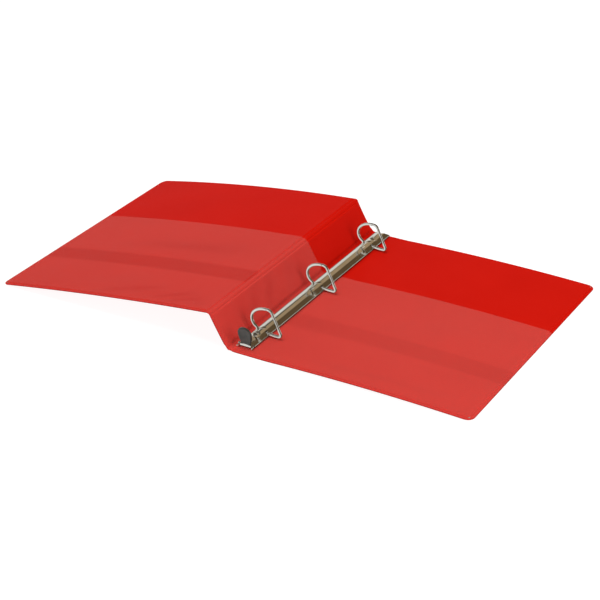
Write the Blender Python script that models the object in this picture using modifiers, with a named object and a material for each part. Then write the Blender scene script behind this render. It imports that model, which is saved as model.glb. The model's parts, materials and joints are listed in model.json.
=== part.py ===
"""Three-ring binder, lying open: a vinyl cover of three panels with a slant-D ring mechanism riveted to the back.

Frame: metres, +Z up, the table at z = 0. +X runs from the spine towards the back cover's free edge and +Y runs
along the spine, away from the lever. The origin is the middle of the open binder's footprint on the table.
"""

import math

import bmesh
import bpy
from mathutils import Matrix, Vector

MM = 0.001

# Cover: each panel is a board between two vinyl sheets that are welded together along the edges and hinges.
COVER_HEIGHT = 295.5 * MM  # along the spine
COVER_WIDTH = 259.5 * MM  # hinge to free edge, front and back
SPINE_WIDTH = 40.66 * MM  # hinge to hinge
SPINE_RISE = 35.4 * MM  # how far the front hinge stands above the rear one
VINYL = 0.35 * MM
BOARD = 1.2 * MM
GAP = 0.25 * MM  # between pieces that touch
COVER_THICKNESS = 2 * VINYL + BOARD + 2 * GAP
CORNER_RADIUS = 8 * MM
WELD_MARGIN = 3 * MM  # the boards stop this far inside the edges
RIM = 0.9 * MM  # wall that joins the two sheets round the board
HINGE_GAP = 1.6 * MM  # from a hinge's axis to the panels beside it
BOARD_SETBACK = 4.6 * MM  # from a hinge's axis to the board
HINGE_WEB_RADIUS = 0.7 * MM
BACK_BOW = 2.2 * MM
BACK_BOW_START = 42 * MM  # the back cover is flat from the hinge to here, under the mechanism
FRONT_BOW = 3.2 * MM
FILM = 0.2 * MM
FILM_HEIGHT = 185 * MM  # pocket depth, from the near edge
FILM_INSET = 1.2 * MM

# Folds. Flat is 0, and a panel's fold is the angle by which it is lifted from the table.
SPINE_FOLD = math.asin(SPINE_RISE / SPINE_WIDTH)
FRONT_FOLD = -math.asin(SPINE_RISE / COVER_WIDTH)

# Ring mechanism. Heights are above the table, and x is from the mechanism's own centre line.
MECHANISM_OFFSET = 13.9 * MM  # from the rear hinge
RING_SPACING = 107.95 * MM
RINGS = {"near": -RING_SPACING, "mid": 0.0, "far": RING_SPACING}
WIRE_RADIUS = 1.4 * MM
WIRE_TOP = 32.0 * MM  # centre line at the top of the loop
TIP_X = 6.85 * MM  # where the halves of a ring meet
TIP_GAP = 0.3 * MM
STEEL = 0.8 * MM
SHELL_NEAR, SHELL_FAR = -138.4 * MM, 143.2 * MM
SHELL_NOTCH = 10.7 * MM  # depth of the V in each end
CROWN = ((0.0, 9.2 * MM), (2.3 * MM, 9.05 * MM), (4.2 * MM, 8.45 * MM))
FLANK = ((6.9 * MM, 5.4 * MM), (7.25 * MM, 3.9 * MM))
RIM_CURL = ((6.9 * MM, 3.45 * MM), (6.0 * MM, 3.45 * MM))
BLADE_PIVOT = (6.25 * MM, 4.6 * MM)  # mirrored for the left blade
BLADE_NEAR, BLADE_FAR = -128.5 * MM, 130.0 * MM
# The rings' left halves open further than the right ones, which lie close over the cover, so the left blade is
# the narrower. Shut, both sag towards the line where they meet, and open, they rise as far above it.
LEFT_BLADE_WIDTH, LEFT_BLADE_SAG = 3.15 * MM, math.radians(5)
RIGHT_BLADE_WIDTH, RIGHT_BLADE_SAG = 8.95 * MM, math.radians(1.75)

# Rivets
RIVET_Y = (-119.5 * MM, 119.5 * MM)
SHANK_RADIUS = 2.0 * MM
RIVET_HEAD_RADIUS = 5.0 * MM
EYELET_RADIUS = 2.9 * MM
RIVET_CLEARANCE = 0.3 * MM

# Lever
PIN_Y, PIN_Z = -135.2 * MM, 5.2 * MM
PIN_RADIUS = 0.8 * MM
CAP_BOTTOM, CAP_WIDEST, CAP_TOP = 6.5 * MM, 18.0 * MM, 25.2 * MM
CAP_HALF_WIDTH, CAP_FOOT_HALF_WIDTH = 7.5 * MM, 4.8 * MM
CAP_THICKNESS = 2.8 * MM
CAP_Y = -137.8 * MM  # middle of the cap's thickness

# Where the two hinges lie. The first line centres the footprint on the origin.
FRONT_RUN = COVER_WIDTH * math.cos(FRONT_FOLD) + COVER_THICKNESS / 2 * math.sin(-FRONT_FOLD)
SPINE_RUN = SPINE_WIDTH * math.cos(SPINE_FOLD)
REAR_HINGE_X = (SPINE_RUN + FRONT_RUN - COVER_WIDTH) / 2
HINGE_Z = COVER_THICKNESS / 2
MECHANISM_X = REAR_HINGE_X + MECHANISM_OFFSET

LAYERS = {  # lowest and highest z of each layer, above the outer face of the cover
    "outer_vinyl": (0.0, COVER_THICKNESS - VINYL - GAP),
    "board": (VINYL + GAP, VINYL + GAP + BOARD),
    "inner_vinyl": (COVER_THICKNESS - VINYL, COVER_THICKNESS),
    "pocket_film": (COVER_THICKNESS + GAP, COVER_THICKNESS + GAP + FILM),
}


def clear_scene():
    for obj in list(bpy.data.objects):
        bpy.data.objects.remove(obj, do_unlink=True)


def new_collection(name):
    collection = bpy.data.collections.new(name)
    bpy.context.scene.collection.children.link(collection)
    return collection


def new_material(name, colour, roughness, metallic=0.0, alpha=1.0):
    material = bpy.data.materials.new(name)
    material.use_nodes = True
    shader = material.node_tree.nodes["Principled BSDF"]
    shader.inputs["Base Color"].default_value = (*colour, 1)
    shader.inputs["Roughness"].default_value = roughness
    shader.inputs["Metallic"].default_value = metallic
    shader.inputs["Alpha"].default_value = alpha
    material.diffuse_color = (*colour, alpha)
    return material


def new_frame(name, location, angle=0.0):
    """An empty on a joint's axis, which the pieces of one body are parented to."""
    frame = bpy.data.objects.new(name, None)
    frame.location = location
    frame.rotation_euler = (0, angle, 0)
    BINDER.objects.link(frame)
    return frame


def place(name, data, material, frame, smooth=True):
    """Adds a piece whose mesh or curve is given in its frame's own coordinates."""
    obj = bpy.data.objects.new(name, data)
    data.materials.append(material)
    obj.parent = frame
    BINDER.objects.link(obj)
    if smooth and obj.type == "MESH":
        data.shade_smooth()
        data.set_sharp_from_angle(angle=math.radians(30))
    return obj


def mesh_from(bm, name):
    bmesh.ops.recalc_face_normals(bm, faces=bm.faces)
    mesh = bpy.data.meshes.new(name)
    bm.to_mesh(mesh)
    bm.free()
    return mesh


def box_mesh(low, high):
    """A bmesh box between two corners."""
    low, high = Vector(low), Vector(high)
    bm = bmesh.new()
    bmesh.ops.create_cube(bm, size=1)
    bmesh.ops.scale(bm, vec=high - low, verts=bm.verts)
    bmesh.ops.translate(bm, vec=(low + high) / 2, verts=bm.verts)
    return bm


def cylinder_mesh(radius, start, end, segments=24):
    """A bmesh cylinder between two points."""
    start, end = Vector(start), Vector(end)
    bm = bmesh.new()
    bmesh.ops.create_cone(
        bm, cap_ends=True, segments=segments, radius1=radius, radius2=radius, depth=(end - start).length
    )
    turn = (end - start).to_track_quat("Z", "Y").to_matrix().to_4x4()
    bmesh.ops.transform(bm, matrix=Matrix.Translation((start + end) / 2) @ turn, verts=bm.verts)
    return bm


def add_cutter(name, bm, frame=None):
    cutter = bpy.data.objects.new(name, mesh_from(bm, name))
    cutter.parent = frame
    cutter.hide_render = True
    cutter.display_type = "WIRE"
    CUTTERS.objects.link(cutter)
    return cutter


def combine(obj, other, operation="DIFFERENCE"):
    modifier = obj.modifiers.new(other.name, "BOOLEAN")
    modifier.operation = operation
    modifier.object = other


# ---- cover panels -------------------------------------------------------------------------------------------


def bend(bm, bow, start, end, steps=14):
    """Arches a panel: its middle rises by bow between two distances along x."""
    for step in range(steps + 1):
        x = start + (end - start) * step / steps
        geometry = bm.verts[:] + bm.edges[:] + bm.faces[:]
        bmesh.ops.bisect_plane(bm, geom=geometry, dist=1e-7, plane_co=(x, 0, 0), plane_no=(1, 0, 0))
    for vertex in bm.verts:
        share = (vertex.co.x - start) / (end - start)
        if 0 < share < 1:
            vertex.co.z += 4 * bow * share * (1 - share)


def panel_mesh(near_x, far_x, heights, inset=0.0, y_range=None, rounded=True, hollow=False):
    """A flat panel layer from the hinge side, near_x, to the free side, far_x. A hollow one is a tray."""
    half = COVER_HEIGHT / 2 - inset
    low_y, high_y = y_range or (-half, half)
    far_x += math.copysign(inset, near_x - far_x) if rounded else 0.0
    low, high = sorted((near_x, far_x))
    bm = box_mesh((low, low_y, heights[0]), (high, high_y, heights[1]))
    if rounded:
        corners = [
            edge
            for edge in bm.edges
            if abs(edge.verts[0].co.z - edge.verts[1].co.z) > 1e-6 and abs(edge.verts[0].co.x - far_x) < 1e-6
        ]
        radius = CORNER_RADIUS - inset
        bmesh.ops.bevel(bm, geom=corners, offset=radius, segments=6, profile=0.5, affect="EDGES")
    if hollow:
        top = max(bm.faces, key=lambda face: face.calc_center_median().z)
        bmesh.ops.inset_region(bm, faces=[top], thickness=RIM, use_even_offset=True)
        floor = bmesh.ops.extrude_face_region(bm, geom=[top])["geom"]
        bmesh.ops.delete(bm, geom=[top], context="FACES_ONLY")
        moved = [part for part in floor if isinstance(part, bmesh.types.BMVert)]
        bmesh.ops.translate(bm, vec=(0, 0, VINYL - heights[1]), verts=moved)
    return bm


def add_panel(panel, frame, side, width, both_hinged, bow, bow_start):
    """The four layers of one panel. side is +1 or -1, the way the panel runs from its hinge."""
    near_x = side * HINGE_GAP
    far_x = side * (width - HINGE_GAP if both_hinged else width)
    film_y = (-COVER_HEIGHT / 2 + FILM_INSET, -COVER_HEIGHT / 2 + FILM_HEIGHT)
    margin = side * (HINGE_GAP + 1 * MM)
    film_far = far_x - side * (1 * MM if both_hinged else FILM_INSET)
    board_near = side * BOARD_SETBACK
    board_far = side * (width - BOARD_SETBACK if both_hinged else width)
    meshes = {
        "outer_vinyl": panel_mesh(near_x, far_x, LAYERS["outer_vinyl"], rounded=not both_hinged, hollow=True),
        "board": panel_mesh(
            board_near, board_far, LAYERS["board"], inset=WELD_MARGIN, rounded=not both_hinged
        ),
        "inner_vinyl": panel_mesh(near_x, far_x, LAYERS["inner_vinyl"], rounded=not both_hinged),
        "pocket_film": panel_mesh(margin, film_far, LAYERS["pocket_film"], y_range=film_y, rounded=False),
    }
    pieces = {}
    for layer, bm in meshes.items():
        if bow:
            bend(bm, bow, side * bow_start, side * width)
        bmesh.ops.translate(bm, vec=(0, 0, -HINGE_Z), verts=bm.verts)
        name = f"{panel}_{layer}"
        pieces[layer] = place(name, mesh_from(bm, name), LAYER_MATERIALS[layer], frame)
    return pieces


def add_hinge_web(name, frame):
    """The welded strip that bends. It is round about the hinge's axis, so that it clears the panels at any fold."""
    half = COVER_HEIGHT / 2 - 1 * MM
    bm = cylinder_mesh(HINGE_WEB_RADIUS, (0, -half, 0), (0, half, 0), segments=12)
    return place(name, mesh_from(bm, name), VINYL_RED, frame)


# ---- ring mechanism -----------------------------------------------------------------------------------------


def arc(centre, radii, start, end, steps):
    """Points on an ellipse in the xz plane, from one angle to another, in degrees."""
    for step in range(steps + 1):
        angle = math.radians(start + (end - start) * step / steps)
        yield Vector((centre[0] + radii[0] * math.cos(angle), centre[1] + radii[1] * math.sin(angle)))


def rounded(corners, radii, steps=5):
    """Points of a route through corners, each rounded to its radius. The first and last corners are ends."""
    points = [Vector(corners[0])]
    for before, corner, after, radius in zip(corners, corners[1:], corners[2:], radii):
        corner = Vector(corner)
        back, on = (Vector(before) - corner).normalized(), (Vector(after) - corner).normalized()
        half = back.angle(on) / 2
        centre = corner + (back + on).normalized() * radius / math.sin(half)
        first, last = corner + back * radius / math.tan(half), corner + on * radius / math.tan(half)
        for step in range(steps + 1):
            chord = first.lerp(last, step / steps) - centre
            points.append(centre + chord.normalized() * radius)
    return points + [Vector(corners[-1])]


def left_ring_route():
    """The curved half: a foot inside the shell, out through its shoulder, and round to the top."""
    foot_x, foot_z = -4.2 * MM, 5.15 * MM
    belly = (0.2 * MM, 19.4 * MM)
    belly_radius = 10.7 * MM
    top = (6.3 * MM, belly[1])
    top_radii = (top[0] - belly[0] + belly_radius, WIRE_TOP - top[1])
    lower = list(arc(belly, (belly_radius, belly_radius), 235, 190, 6))
    entry = lower[0]
    slope = math.tan(math.radians(35))
    knee = (foot_x, entry[1] - (foot_x - entry[0]) * slope)
    foot = rounded([(foot_x, foot_z), knee, entry], [1.7 * MM], steps=3)
    upper = list(arc(top, top_radii, 180, 90, 11))
    return foot[:-1] + lower + upper + [Vector((TIP_X - TIP_GAP / 2, WIRE_TOP))]


def right_ring_route():
    """The straight half: out under the shell's rim, along the cover, and up a straight post that leans back."""
    run_z = 5.3 * MM
    lean = math.tan(math.radians(24.9))
    post_x = 23.7 * MM
    corners = [
        (4.5 * MM, 6.3 * MM),
        (15.5 * MM, run_z),
        (post_x, run_z),
        (post_x - (WIRE_TOP - run_z) * lean, WIRE_TOP),
        (TIP_X + TIP_GAP / 2, WIRE_TOP),
    ]
    return rounded(corners, [12 * MM, 2.4 * MM, 5 * MM])


def add_ring_half(name, route, y, frame, pivot_x):
    """A bent wire in the plane of one ring, in the frame of its blade."""
    curve = bpy.data.curves.new(name, "CURVE")
    curve.dimensions = "3D"
    curve.bevel_depth = WIRE_RADIUS
    curve.bevel_resolution = 3
    curve.use_fill_caps = True
    spline = curve.splines.new("POLY")
    spline.points.add(len(route) - 1)
    for point, (x, z) in zip(spline.points, route):
        point.co = (x - pivot_x, y, z - BLADE_PIVOT[1], 1)
    return place(name, curve, NICKEL, frame)


def add_shell(frame):
    """The arched cover of the mechanism: a bent sheet with curled rims, a V cut in each end."""
    half = [*CROWN, *FLANK, *RIM_CURL]
    profile = [(-x, z) for x, z in reversed(half)] + half[1:]
    bm = bmesh.new()
    row = [bm.verts.new((x, SHELL_NEAR, z)) for x, z in profile]
    edges = [bm.edges.new(pair) for pair in zip(row, row[1:])]
    swept = bmesh.ops.extrude_edge_only(bm, edges=edges)["geom"]
    ends = [part for part in swept if isinstance(part, bmesh.types.BMVert)]
    bmesh.ops.translate(bm, vec=(0, SHELL_FAR - SHELL_NEAR, 0), verts=ends)
    shell = place("ring_shell", mesh_from(bm, "ring_shell"), NICKEL, frame)
    solid = shell.modifiers.new("sheet", "SOLIDIFY")
    solid.thickness = STEEL
    solid.offset = 0
    for end, y in (("near", SHELL_NEAR), ("far", SHELL_FAR)):
        notch = bmesh.new()
        bmesh.ops.create_cone(notch, cap_ends=True, segments=4, radius1=1, radius2=1, depth=20 * MM)
        bmesh.ops.scale(notch, vec=(8.2 * MM, SHELL_NOTCH, 1), verts=notch.verts)
        bmesh.ops.translate(notch, vec=(0, y, 8 * MM), verts=notch.verts)
        combine(shell, add_cutter(f"shell_notch_{end}", notch, frame))
    slot = 1.9 * MM
    for ring, y in RINGS.items():
        left = box_mesh((-8 * MM, y - slot, 5.5 * MM), (-2.4 * MM, y + slot, 12 * MM))
        right = box_mesh((4.1 * MM, y - slot, 2.5 * MM), (9 * MM, y + slot, 8.1 * MM))
        combine(shell, add_cutter(f"shell_slot_left_{ring}", left, frame))
        combine(shell, add_cutter(f"shell_slot_right_{ring}", right, frame))
    for number, y in enumerate(RIVET_Y):
        radius = SHANK_RADIUS + RIVET_CLEARANCE
        combine(shell, add_cutter(f"shell_rivet_{number}", cylinder_mesh(radius, (0, y, 7 * MM), (0, y, 11 * MM))))
        shell.modifiers[-1].object.parent = frame
    bore = cylinder_mesh(PIN_RADIUS + 0.15 * MM, (-12 * MM, PIN_Y, PIN_Z), (12 * MM, PIN_Y, PIN_Z), 16)
    combine(shell, add_cutter("shell_pin_bore", bore, frame))
    return shell


def add_blade(name, side, width, sag, frame, mechanism):
    """A hinge plate. Its outer edge turns in the shell's rim and its inner edge meets the other blade's."""
    pivot_x = side * BLADE_PIVOT[0]
    ends = sorted((0.0, -side * width))
    bm = box_mesh((ends[0], BLADE_NEAR, -STEEL / 2), (ends[1], BLADE_FAR, STEEL / 2))
    bmesh.ops.rotate(bm, verts=bm.verts, cent=(0, 0, 0), matrix=Matrix.Rotation(-side * sag, 3, "Y"))
    blade = place(name, mesh_from(bm, name), STEEL_GREY, frame, smooth=False)
    for number, y in enumerate(RIVET_Y):
        hole = cylinder_mesh(SHANK_RADIUS + 0.6 * MM, (0, y, 0), (0, y, 10 * MM))
        if side > 0:
            combine(blade, add_cutter(f"{name}_rivet_{number}", hole, mechanism))
    if side > 0:
        for ring, y in RINGS.items():
            notch = box_mesh((3.4 * MM, y - 1.75 * MM, 2 * MM), (pivot_x + 2 * MM, y + 1.75 * MM, 9 * MM))
            combine(blade, add_cutter(f"{name}_wire_{ring}", notch, mechanism))
    return blade


def add_rivet(name, y, frame):
    """A hollow rivet, turned: flat head under the cover, shank, and a rolled eyelet on the shell's crown."""
    head_top = VINYL + 0.05 * MM
    crown_top = CROWN[0][1] + STEEL / 2
    eyelet_low, eyelet_high = crown_top + 0.3 * MM, crown_top + 0.9 * MM
    bore, bore_floor = 1.3 * MM, 2.0 * MM
    profile = [
        (0.0, bore_floor),
        (bore, bore_floor),
        (bore, eyelet_high - 0.3 * MM),
        (bore + 0.3 * MM, eyelet_high),
        (EYELET_RADIUS - 0.3 * MM, eyelet_high),
        (EYELET_RADIUS, eyelet_low + 0.2 * MM),
        (EYELET_RADIUS - 0.3 * MM, eyelet_low),
        (SHANK_RADIUS, eyelet_low),
        (SHANK_RADIUS, head_top),
        (RIVET_HEAD_RADIUS, head_top),
        (RIVET_HEAD_RADIUS - 0.3 * MM, 0.05 * MM),
        (0.0, 0.05 * MM),
    ]
    mesh = bpy.data.meshes.new(name)
    points = [(x, 0, z) for x, z in profile]
    mesh.from_pydata(points, [(i, i + 1) for i in range(len(points) - 1)], [])
    rivet = place(name, mesh, NICKEL, frame, smooth=False)
    rivet.location = (0, y, 0)
    turn = rivet.modifiers.new("turn", "SCREW")
    turn.steps = turn.render_steps = 24
    turn.use_merge_vertices = True
    turn.merge_threshold = 1e-6
    turn.use_smooth_shade = False
    return rivet


def add_lever_pin(frame):
    """The pin that the lever turns on, with a head outside each flank of the shell."""
    half, head, head_length = 8.0 * MM, 1.3 * MM, 0.5 * MM
    pin = place(
        "lever_pin",
        mesh_from(cylinder_mesh(PIN_RADIUS, (-half, PIN_Y, PIN_Z), (half, PIN_Y, PIN_Z), 16), "lever_pin"),
        STEEL_GREY,
        frame,
    )
    for side in (-1, 1):
        inner = side * (half - 0.05 * MM)
        outer = side * (half + head_length)
        rim = cylinder_mesh(head, (inner, PIN_Y, PIN_Z), (outer, PIN_Y, PIN_Z), 16)
        combine(pin, add_cutter(f"lever_pin_head_{side}", rim, frame), "UNION")
    return pin


def add_lever(frame):
    """Steel lever: a bar that turns on the pin, a tongue towards the blades, and an upright inside the cap."""
    bar_half = 4.9 * MM
    bar = box_mesh((-bar_half, -2.3 * MM, -1.15 * MM), (bar_half, 1.9 * MM, 0.95 * MM))
    lengthways = [edge for edge in bar.edges if abs(edge.verts[0].co.x - edge.verts[1].co.x) > 1e-6]
    bmesh.ops.bevel(bar, geom=lengthways, offset=0.6 * MM, segments=3, profile=0.5, affect="EDGES")
    lever = place("lever_arm", mesh_from(bar, "lever_arm"), STEEL_GREY, frame)
    upright_y = CAP_Y - PIN_Y
    half = 0.5 * MM
    upright = box_mesh((-3 * MM, upright_y - half, 0.1 * MM), (3 * MM, upright_y + half, 12.5 * MM))
    tongue = box_mesh((-1.5 * MM, 0, -0.8 * MM), (1.5 * MM, 5.4 * MM, 0.05 * MM))
    combine(lever, add_cutter("lever_upright", upright, frame), "UNION")
    combine(lever, add_cutter("lever_tongue", tongue, frame), "UNION")
    bore = cylinder_mesh(PIN_RADIUS + 0.2 * MM, (-9 * MM, 0, 0), (9 * MM, 0, 0), 16)
    combine(lever, add_cutter("lever_bore", bore, frame))
    return lever


def cap_outline(steps=12):
    """Half of the paddle's outline, from the middle of its top down to its foot, as (half width, height)."""
    for step in range(steps):
        angle = math.radians(90 * (1 - step / steps))
        yield CAP_HALF_WIDTH * math.cos(angle), CAP_WIDEST + (CAP_TOP - CAP_WIDEST) * math.sin(angle)
    for step in range(steps + 1):
        share = step / steps
        narrowing = (CAP_HALF_WIDTH - CAP_FOOT_HALF_WIDTH) * share**1.7
        yield CAP_HALF_WIDTH - narrowing, CAP_WIDEST + (CAP_BOTTOM - CAP_WIDEST) * share


def add_lever_cap(frame):
    """The paddle that a thumb presses, moulded over the lever's upright."""
    half = list(cap_outline())
    outline = half + [(-x, z) for x, z in reversed(half[1:])]
    bm = bmesh.new()
    front_y = CAP_Y - CAP_THICKNESS / 2 - PIN_Y
    face = bm.faces.new([bm.verts.new((x, front_y, z - PIN_Z)) for x, z in outline])
    back = bmesh.ops.extrude_face_region(bm, geom=[face])["geom"]
    moved = [part for part in back if isinstance(part, bmesh.types.BMVert)]
    bmesh.ops.translate(bm, vec=(0, CAP_THICKNESS, 0), verts=moved)
    rims = [edge for edge in bm.edges if abs(edge.verts[0].co.y - edge.verts[1].co.y) < 1e-7]
    bmesh.ops.bevel(bm, geom=rims, offset=0.5 * MM, segments=2, profile=0.5, affect="EDGES")
    cap = place("lever_cap", mesh_from(bm, "lever_cap"), BLACK_PLASTIC, frame)
    socket_y = CAP_Y - PIN_Y
    half_slot = 0.8 * MM
    socket = box_mesh((-3.3 * MM, socket_y - half_slot, 0), (3.3 * MM, socket_y + half_slot, 12.8 * MM))
    combine(cap, add_cutter("lever_cap_socket", socket, frame))
    return cap


clear_scene()
BINDER = new_collection("ring_binder")
CUTTERS = new_collection("cutters")
CUTTERS.hide_render = True

VINYL_RED = new_material("vinyl_red", (0.60, 0.013, 0.006), 0.42)
BOARD_GREY = new_material("board_grey", (0.33, 0.29, 0.24), 0.9)
FILM_CLEAR = new_material("film_clear", (0.62, 0.06, 0.045), 0.3, alpha=0.6)
NICKEL = new_material("nickel", (0.66, 0.60, 0.50), 0.18, metallic=1.0)
STEEL_GREY = new_material("steel_grey", (0.55, 0.54, 0.52), 0.3, metallic=1.0)
BLACK_PLASTIC = new_material("black_plastic", (0.03, 0.028, 0.024), 0.3)
LAYER_MATERIALS = {
    "outer_vinyl": VINYL_RED,
    "board": BOARD_GREY,
    "inner_vinyl": VINYL_RED,
    "pocket_film": FILM_CLEAR,
}

back_frame = new_frame("back_frame", (REAR_HINGE_X, 0, HINGE_Z))
spine_frame = new_frame("spine_frame", (REAR_HINGE_X, 0, HINGE_Z), SPINE_FOLD)
front_frame = new_frame("front_frame", (REAR_HINGE_X - SPINE_RUN, 0, HINGE_Z + SPINE_RISE), FRONT_FOLD)
mechanism_frame = new_frame("mechanism_frame", (MECHANISM_X, 0, 0))
left_frame = new_frame("left_blade_frame", (MECHANISM_X - BLADE_PIVOT[0], 0, BLADE_PIVOT[1]))
right_frame = new_frame("right_blade_frame", (MECHANISM_X + BLADE_PIVOT[0], 0, BLADE_PIVOT[1]))
lever_frame = new_frame("lever_frame", (MECHANISM_X, PIN_Y, PIN_Z))

back = add_panel("back", back_frame, 1, COVER_WIDTH, False, BACK_BOW, BACK_BOW_START)
add_panel("spine", spine_frame, -1, SPINE_WIDTH, True, 0.0, 0.0)
add_panel("front", front_frame, -1, COVER_WIDTH, False, FRONT_BOW, 0.0)
add_hinge_web("rear_hinge_web", back_frame)
add_hinge_web("front_hinge_web", front_frame)

rivet_holes = {"outer_vinyl": RIVET_HEAD_RADIUS, "board": SHANK_RADIUS, "inner_vinyl": SHANK_RADIUS}
rivet_holes["pocket_film"] = SHANK_RADIUS
for layer, hole_radius in rivet_holes.items():
    for number, rivet_y in enumerate(RIVET_Y):
        if layer == "pocket_film" and rivet_y > 0:
            continue
        radius = hole_radius + RIVET_CLEARANCE
        hole = cylinder_mesh(radius, (0, rivet_y, -3 * MM), (0, rivet_y, 6 * MM))
        combine(back[layer], add_cutter(f"back_{layer}_hole_{number}", hole, mechanism_frame))

add_shell(mechanism_frame)
for rivet_name, rivet_y in zip(("rivet_near", "rivet_far"), RIVET_Y):
    add_rivet(rivet_name, rivet_y, mechanism_frame)
add_blade("left_blade", -1, LEFT_BLADE_WIDTH, LEFT_BLADE_SAG, left_frame, mechanism_frame)
add_blade("right_blade", 1, RIGHT_BLADE_WIDTH, RIGHT_BLADE_SAG, right_frame, mechanism_frame)
for ring, ring_y in RINGS.items():
    add_ring_half(f"ring_left_{ring}", left_ring_route(), ring_y, left_frame, -BLADE_PIVOT[0])
    add_ring_half(f"ring_right_{ring}", right_ring_route(), ring_y, right_frame, BLADE_PIVOT[0])
add_lever_pin(mechanism_frame)
add_lever(lever_frame)
add_lever_cap(lever_frame)
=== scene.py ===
"""The ring binder's looks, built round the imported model: red vinyl, clear pockets and a nickel mechanism."""

import json
import math

import bmesh
import bpy
import numpy as np
from mathutils import Matrix, Vector


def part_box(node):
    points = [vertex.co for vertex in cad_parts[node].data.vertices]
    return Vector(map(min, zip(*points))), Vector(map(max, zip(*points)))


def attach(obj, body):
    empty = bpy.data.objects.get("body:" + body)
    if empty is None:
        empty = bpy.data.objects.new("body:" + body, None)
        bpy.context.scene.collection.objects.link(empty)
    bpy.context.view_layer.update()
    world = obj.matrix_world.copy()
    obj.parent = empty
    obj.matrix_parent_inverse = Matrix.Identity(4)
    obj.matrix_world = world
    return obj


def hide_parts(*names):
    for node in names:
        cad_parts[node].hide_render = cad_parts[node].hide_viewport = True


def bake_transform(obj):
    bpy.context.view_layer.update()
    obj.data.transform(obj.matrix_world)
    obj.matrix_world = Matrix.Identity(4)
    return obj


MM = 0.001

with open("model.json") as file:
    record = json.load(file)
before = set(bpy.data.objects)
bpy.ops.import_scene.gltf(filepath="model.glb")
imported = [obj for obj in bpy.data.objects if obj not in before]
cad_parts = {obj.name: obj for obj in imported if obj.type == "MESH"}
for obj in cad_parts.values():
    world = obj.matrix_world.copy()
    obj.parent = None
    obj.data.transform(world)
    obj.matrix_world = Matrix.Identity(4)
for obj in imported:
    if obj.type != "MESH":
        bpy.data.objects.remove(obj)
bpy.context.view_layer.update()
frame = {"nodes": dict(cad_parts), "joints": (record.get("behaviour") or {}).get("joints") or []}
JOINTS = {joint["name"]: joint for joint in frame["joints"]}
REAR = Vector(JOINTS["spine_hinge"]["pos_m"])
TOP = Vector(JOINTS["front_hinge"]["pos_m"])
LEVER_PIVOT = Vector(JOINTS["lever_hinge"]["pos_m"])
MECHANISM_X = LEVER_PIVOT.x
HALF_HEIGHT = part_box("back_outer_vinyl")[1].y
COVER_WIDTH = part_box("back_outer_vinyl")[1].x - REAR.x
SPINE_WIDTH = (TOP - REAR).length
HALF_THICKNESS = REAR.z
RING_Y = {"near": -107.95 * MM, "mid": 0.0, "far": 107.95 * MM}
RIVET_Y = (-119.5 * MM, 119.5 * MM)
FILM_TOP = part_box("back_pocket_film")[1].y - 1 * MM
FILM_INSET = 0.35 * MM
CORNER_RADIUS = 8 * MM
# A band of painted shade across the two covers: darker vinyl, and less haze in the film over it.
SHADE_BAND_LOW, SHADE_BAND_HIGH = -78 * MM, -52 * MM  # a darker band across the two covers
# The film's haze, and the share of it that is left in the band of painted shade.
FILM_LOOKS = {"back": (0.0215, 0.87), "spine": (0.0215, 1.0), "front": (0.0185, 0.68)}


# ---- materials ----------------------------------------------------------------------------------------------


def feed(tree, socket, value):
    """Gives a socket a value, or links it to another node's output."""
    if isinstance(value, bpy.types.NodeSocket):
        tree.links.new(value, socket)
    else:
        socket.default_value = value


def add_node(tree, kind, inputs=None, **settings):
    node = tree.nodes.new(kind)
    for key, value in settings.items():
        setattr(node, key, value)
    for key, value in (inputs or {}).items():
        feed(tree, node.inputs[key], value)
    return node


class Nodes:
    """A material's node tree, with short ways to add to it."""

    def __init__(self, name):
        self.material = bpy.data.materials.new(name)
        self.material.use_nodes = True
        self.tree = self.material.node_tree
        self.shader = self.tree.nodes["Principled BSDF"]
        self.place = self.add("ShaderNodeTexCoord").outputs["Object"]

    def add(self, kind, inputs=None, **settings):
        return add_node(self.tree, kind, inputs, **settings)

    def set(self, **values):
        for key, value in values.items():
            feed(self.tree, self.shader.inputs[key.replace("_", " ")], value)

    def noise(self, scale, detail=3.0, roughness=0.5, stretch=(1, 1, 1)):
        moved = self.add("ShaderNodeMapping", {"Vector": self.place, "Scale": stretch})
        inputs = {"Vector": moved.outputs[0], "Scale": scale, "Detail": detail, "Roughness": roughness}
        return self.add("ShaderNodeTexNoise", inputs).outputs["Fac"]

    def span(self, value, low, high, to_low, to_high, smooth=False):
        kind = "SMOOTHSTEP" if smooth else "LINEAR"
        inputs = {"Value": value, "From Min": low, "From Max": high, "To Min": to_low, "To Max": to_high}
        return self.add("ShaderNodeMapRange", inputs, interpolation_type=kind).outputs[0]

    def math(self, operation, a, b):
        return self.add("ShaderNodeMath", {0: a, 1: b}, operation=operation).outputs[0]

    def mix(self, factor, a, b):
        node = self.add("ShaderNodeMix", data_type="RGBA")
        for socket, value in zip((node.inputs[0], node.inputs[6], node.inputs[7]), (factor, a, b)):
            feed(self.tree, socket, value)
        return node.outputs[2]

    def bump(self, *layers):
        """layers are (height, strength, distance in metres)."""
        normal = None
        for height, strength, distance in layers:
            inputs = {"Height": height, "Strength": strength, "Distance": distance}
            if normal:
                inputs["Normal"] = normal
            normal = self.add("ShaderNodeBump", inputs).outputs[0]
        feed(self.tree, self.shader.inputs["Normal"], normal)


def shade_band_share(m):
    """1 within the band of painted shade, and 0 elsewhere."""
    y, soft = m.add("ShaderNodeSeparateXYZ", {"Vector": m.place}).outputs["Y"], 0.6 * MM
    low = m.span(y, SHADE_BAND_LOW, SHADE_BAND_LOW + soft, 0.0, 1.0, smooth=True)
    return m.math("MULTIPLY", low, m.span(y, SHADE_BAND_HIGH - soft, SHADE_BAND_HIGH, 1.0, 0.0, smooth=True))


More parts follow.
